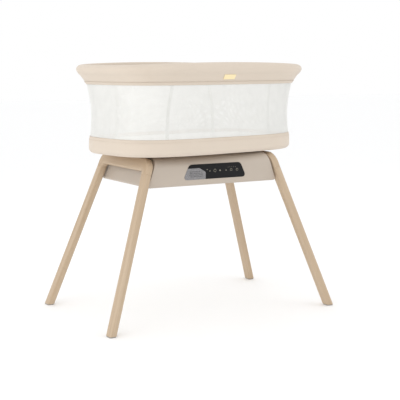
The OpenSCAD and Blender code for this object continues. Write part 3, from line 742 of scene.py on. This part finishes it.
def makeBand(finishes):
    b = band
    top, low, bulge = meshLow, bandLow, b["bulge"]
    points = [(-b["under"], low + 0.0004), (-0.018, low), (-0.0085, low + 0.0002), (-0.0035, low + 0.0022),
              (0.0004, low + 0.0065), (bulge - 0.0005, low + 0.013), (bulge, low + 0.026),
              (bulge - 0.0004, top - 0.018), (bulge - 0.0013, top - 0.0085), (bulge - 0.0022, top - 0.0062),
              (bulge - 0.0016, top - 0.0042), (0.0011, top - 0.0012), (-0.0002, top + 0.0002)]
    piece = ringSheet("lowerBand", smoothLine(points, 4), b["uneven"])
    apply(piece, "SOLIDIFY", thickness=b["cloth"], offset=-1)
    smooth(piece, 60)
    finishPiece(piece, finishes["beige"], "basket", "beige_cloth", "lower_band")
    profile = lengthOf(points)
    return piece


def makeWall(finishes):
    w = wall
    low, tall = meshLow - 0.004, meshTop - meshLow
    profile = [(-0.0012, low), (-0.0008, low + 0.003)]
    for i in range(1, w["rows"] + 1):
        share = i / w["rows"]
        profile.append((wallOff(share) - 0.0003, meshLow + tall * share))
    profile.append((w["flare"] + 0.0014, meshTop + 0.003))
    piece = ringSheet("meshWall", [Vector(p) for p in profile], w["uneven"])
    apply(piece, "SOLIDIFY", thickness=w["cloth"], offset=-1)
    smooth(piece, 60)
    finishPiece(piece, finishes["net"], "basket", "white_mesh", "mesh_wall")
    lengthOf(profile)
    return piece


def rimProfile():  # up the skirt, over the tube and down inside
    r, f, top = rim, basket["flare"], rimTop
    outer = [(wall["flare"], meshTop), (0.0087, meshTop + 0.010), (0.0153, meshTop + 0.020),
             (r["skirtOff"], meshTop + r["skirtUp"]), (f - 0.0067, top - 0.032), (f - 0.0022, top - 0.0245),
             (f, top - 0.0175), (f - 0.0013, top - 0.010), (f - 0.0058, top - 0.0045),
             (f - 0.0098, top - 0.0018)]
    roll = [(0.0200, top - 0.0002), (0.0155, top - 0.0008), (0.0122, top - 0.0044), (0.0106, top - 0.012)]
    inner = [(0.0102, top - 0.022), (0.0062, meshTop + 0.027), (0.0024, meshTop + 0.013),
             (-0.0010, meshTop)]
    return smoothLine(outer + roll + inner, 4)


def makeRim(finishes):
    r = rim
    profile = rimProfile()
    piece = ringSheet("rimCover", profile, r["uneven"])
    apply(piece, "SOLIDIFY", thickness=r["cloth"], offset=-1)
    smooth(piece, 60)
    finishPiece(piece, finishes["beige"], "basket", "beige_cloth", "rim_cover")
    lengthOf(profile)
    return piece


def makeHem(finishes):
    def skirt(up):
        return wall["flare"] + up * (rim["skirtOff"] - wall["flare"]) / rim["skirtUp"]

    points = [(skirt(0) + 0.0009, meshTop - 0.0012), (skirt(0) + 0.0019, meshTop - 0.0006),
              (skirt(0.002) + 0.0020, meshTop + 0.0020), (skirt(0.0075) + 0.0020, meshTop + 0.0075),
              (skirt(0.0092) + 0.0016, meshTop + 0.0092), (skirt(0.0097) + 0.0008, meshTop + 0.0097)]
    piece = ringSheet("rimHem", smoothLine(points, 3), rim["uneven"])
    apply(piece, "SOLIDIFY", thickness=0.0008, offset=-1)
    smooth(piece, 60)
    finishPiece(piece, finishes["hem"], "basket", "beige_cloth", "rim_hem")
    lengthOf(points)


seams = {"thread": 0.00042, "pitch": 0.0032, "binding": 0.0008, "placket": (-0.3589, -0.3533),
         "placketUp": (0.012, 0.060), "ridge": 0.0009}


def ringTube(name, count, off, z, radius):  # a round cord of sewing along the ring
    angles, length = evenAngles(count)

    def place(column, row):
        a = 2 * pi * row / 6
        r = radius(column)
        return inRow(ovalPoint(off + r * cos(a), z - r * sin(a), angles[column]))

    piece = layGrid(name, count, 6, place, length, 2 * pi * radius(0))
    faceOut(piece)
    smooth(piece, 60)
    return piece


def makeSeams(finishes):
    t = seams

    def stitch(column):  # every third ring dips into the cloth
        return t["thread"] * (1.0, 1.0, 0.3)[column % 3]

    hemUp = 0.0078
    hemOff = wall["flare"] + hemUp * (rim["skirtOff"] - wall["flare"]) / rim["skirtUp"] + 0.0023
    for name, off, z in (("hemStitches", hemOff, meshTop + hemUp),
                         ("bandStitches", band["bulge"] - 0.0008, meshLow - 0.0105)):
        count = 3 * round(ringLength / t["pitch"])
        piece = ringTube(name, count, off, z, stitch)
        finishPiece(piece, finishes["thread"], "basket", "beige_cloth")
    piece = ringTube("bandBinding", basket["columns"], 0.0006, meshLow, lambda column: t["binding"])
    finishPiece(piece, finishes["hem"], "basket", "beige_cloth")
    profile = rimProfile()
    low, high = t["placketUp"]
    run = [q for q in profile[:len(profile) // 2] if low <= q[1] - meshTop <= high]
    made = []
    for x in t["placket"]:
        angle = min((radians(180 + 0.05 * i) for i in range(1800)),
                    key=lambda a: abs(ovalPoint(0.022, meshTop + 0.035, a).x - x))

        def place(column, row):
            a = 2 * pi * row / 8
            off, z = run[column]
            side = inRow(ovalPoint(off, z, angle + 0.001)) - inRow(ovalPoint(off, z, angle - 0.001))
            out = side.normalized().cross(Vector((0, 0, 1)))
            spot = inRow(ovalPoint(off + 0.0001, z, angle))
            return spot + side.normalized() * t["ridge"] * cos(a) + out * t["ridge"] * 0.6 * sin(a)

        made.append(closeTube(layGrid("ridge", len(run) - 1, 8, place, lengthOf(run), 0.005)))
    piece = joinAll(made, "rimPlacket")
    finishPiece(piece, finishes["hem"], "basket", "beige_cloth")
    print("seams sewn")


stays = {
    "runs": [(-0.276, -0.257, -1), (0.206, 0.202, -1), (0.276, 0.257, 1), (-0.206, -0.202, 1)],
    "wide": 0.013, "thick": 0.0046, "edge": 0.0021, "inside": 0.0065, "rows": 26,
}


def makeStays(finishes):  # flat fabric sleeves round the rods inside the mesh
    v = stays
    section = roundedSection(v["wide"], v["thick"], v["edge"], 3)
    low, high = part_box("wall_stays")[0].z + 0.004, meshTop + 0.010
    made = []
    for xLow, xHigh, side in v["runs"]:

        def spot(x, z, off):
            n = basket["squareLow"] + (basket["squareHigh"] - basket["squareLow"]) * shareAt(z)
            a, b = basket["halfLength"] + off, basket["halfWidth"] + off
            return Vector((x, side * b * (1 - (abs(x) / a) ** n) ** (1 / n), z))

        def place(column, row):
            t = row / v["rows"]
            z = low + (high - low) * t
            x = xLow + (xHigh - xLow) * t
            lift = max(0, t - 0.86) / 0.14  # leans out to the lining at the top
            off = wallOff(shareAt(z)) - v["inside"] + 0.0032 * lift ** 2
            wide = (spot(x + 0.001, z, off) - spot(x - 0.001, z, off)).normalized()
            out = wide.cross(Vector((0, 0, 1)))
            p, q = section[column % len(section)]
            return inRow(spot(x, z, off) + wide * p + out * q)

        made.append(closeTube(layGrid("sleeve", len(section), v["rows"], place, 0.03, high - low)))
    piece = joinAll(made, "staySleeves")
    finishPiece(piece, finishes["sleeve"], "basket", "tube_steel", "wall_stays")
    print("stay sleeves made")


bedding = {"inset": 0.0272, "crown": 0.0030, "voxel": 0.006, "pressure": 4, "cap": 0.0060,
           "frames": 20, "piping": 0.0013}


def makeMattress(finishes):
    b = bedding
    low, high = (corner.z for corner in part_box("mattress"))
    edge = 0.010
    rings = [(0.0, low + 0.0006), (0.5, low + 0.0006), (0.9, low + 0.0006), (0.975, low + 0.002),
             (1.0, low + edge), (1.0, high - edge - 0.003), (0.975, high - 0.006), (0.9, high - 0.004),
             (0.5, high - 0.0035 + b["crown"] * 0.5), (0.0, high - 0.0035 + b["crown"] * 0.6)]

    def place(column, row):
        share, z = rings[row]
        p = ovalPoint(-b["inset"], meshLow, ringAngles[column])
        return inRow(Vector((p.x * share, p.y * share, z)))

    piece = layGrid("mattressPad", basket["columns"], len(rings) - 1, place, 1, 1)
    faceOut(piece)
    apply(piece, "REMESH", mode="VOXEL", voxel_size=b["voxel"])
    start = [corner.co.copy() for corner in piece.data.vertices]
    takeUp(piece)
    puff = piece.modifiers.new("puff", "CLOTH")
    puff.settings.use_pressure = True
    puff.settings.uniform_pressure_force = b["pressure"]
    puff.settings.effector_weights.gravity = 0
    for count in range(1, b["frames"] + 1):
        bpy.context.scene.frame_set(count)
    bpy.ops.object.modifier_apply(modifier="puff")
    bpy.context.scene.frame_set(1)
    for corner, before in zip(piece.data.vertices, start):
        move = corner.co - before
        if move.length > b["cap"]:
            corner.co = before + move.normalized() * b["cap"]
    for corner in piece.data.vertices:  # flat on the board, and within its own height
        corner.co.z = min(high, max(low + 0.0003, corner.co.z))
    apply(piece, "SUBSURF", levels=1, render_levels=1)
    smooth(piece, 60)
    finishPiece(piece, finishes["cotton"], "basket", "mattress_cloth", "mattress")

    made = []
    for z in (low + 0.007, high - 0.007):
        cord = []
        for angle in ringAngles:
            p = inRow(ovalPoint(-0.0205, meshLow, angle))
            cord.append(piece.closest_point_on_mesh(Vector((p.x, p.y, z)))[1])

        def round6(column, row):
            a = 2 * pi * row / 6
            spot = cord[column % len(cord)]
            away = (spot - inRow(Vector((0, 0, spot.z)))).normalized()
            return spot + away * b["piping"] * cos(a) - Vector((0, 0, 1)) * b["piping"] * sin(a)

        made.append(layGrid("piping", basket["columns"], 6, round6, ringLength, 0.008))
    for seam in made:
        faceOut(seam)
        smooth(seam, 60)
    finishPiece(joinAll(made, "mattressPiping"), finishes["hem"], "basket", "mattress_cloth")
    print("mattress filled")


def makeLining(finishes):  # covers the base tube and runs in under the mattress
    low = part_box("mattress")[0].z
    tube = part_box("base_tube")[1].z
    points = [(-0.0030, meshLow - 0.003), (-0.0036, tube + 0.016), (-0.0052, tube + 0.005),
              (-0.0100, tube + 0.0015), (-0.0150, tube + 0.0012), (-0.0192, tube - 0.0022),
              (-0.0207, tube - 0.008), (-0.0208, low + 0.0012)]
    piece = ringSheet("baseLining", smoothLine(points, 4))
    smooth(piece, 60)
    finishPiece(piece, finishes["beige"], "basket", "beige_cloth")
    lengthOf(points)
    print("lining laid")


def makeLabel(finishes):
    plate = softCopy("label_plate", "labelPlate", 0.0004)
    finishPiece(plate, finishes["gold"], "basket", "gold_plate", "label_plate")


makeStudio()
finishes = makeFinishes()
makeFrameTops(finishes)
paintLegs()
makeCasing(finishes)
makeBand(finishes)
makeWall(finishes)
makeRim(finishes)
makeHem(finishes)
makeSeams(finishes)
makeStays(finishes)
makeMattress(finishes)
makeLining(finishes)
makeLabel(finishes)

clearSelection()
bpy.ops.mesh.primitive_plane_add(size=40, location=(0, 0, 0))
floor = bpy.context.object
floor.name = "floor"
paint(floor, mottled("floorPaint", studio["floor"], (0.985, 0.99, 0.995), 40, 0.00002, 0.8))

nodeFinish = {
    "foot_pads": "felt", "leg_dowels": "board", "frame_inserts": "brass", "frame_bolts": "steel",
    "frame_spacers": "steel", "chassis": "steel", "housing_screws": "steel", "chassis_screws": "steel",
    "speaker_driver": "dark", "touch_board": "pcb", "control_board": "pcb", "board_screws": "steel",
    "power_inlet": "dark", "gear_motor": "steel", "motor_screws": "steel", "bearing_block": "alloy",
    "bearing_screws": "steel", "spindle_bushes": "bronze", "glide_pads": "glide", "drive_belt": "rubber",
    "motor_shaft": "steel", "motor_pulley": "alloy", "spindle": "steel", "spindle_clip": "steel",
    "spindle_pulley": "alloy", "turntable": "table", "turntable_screws": "steel", "base_board": "board",
    "base_tube": "steel", "rim_tube": "steel",
}
for node, finish in nodeFinish.items():
    paint(nodes[node], finishes[finish])
